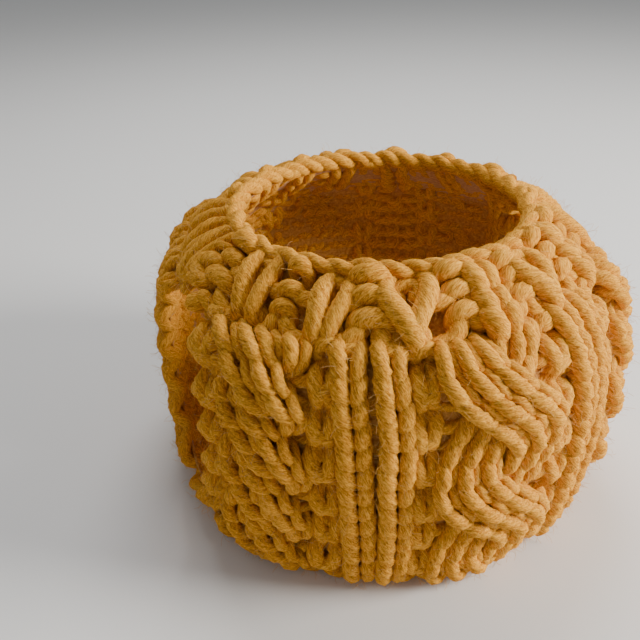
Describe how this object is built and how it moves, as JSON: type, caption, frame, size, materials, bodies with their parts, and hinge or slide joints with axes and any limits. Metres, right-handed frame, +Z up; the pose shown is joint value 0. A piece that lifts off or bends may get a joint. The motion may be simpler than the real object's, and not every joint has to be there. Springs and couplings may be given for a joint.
{
  "type": "tea cosy",
  "caption": "Hand-knitted cable tea cosy in thick mustard yarn, open at the top, with side slits for spout and handle.",
  "frame": {"origin": "centre of the hem, on the surface that the cosy stands on", "axes": "+Z up, -X towards the spout slit, +X towards the handle slit, -Y out of the front panel"},
  "size_m": [0.1566, 0.1696, 0.1001],
  "materials": {
    "front_panel_yarn": "thick mustard knitting yarn, soft and matt with a fuzzy halo",
    "back_panel_yarn": "thick mustard knitting yarn, soft and matt with a fuzzy halo"
  },
  "bodies": {
    "root": {"front_panel": "front_panel_yarn", "back_panel": "back_panel_yarn"}
  },
  "joints": []
}
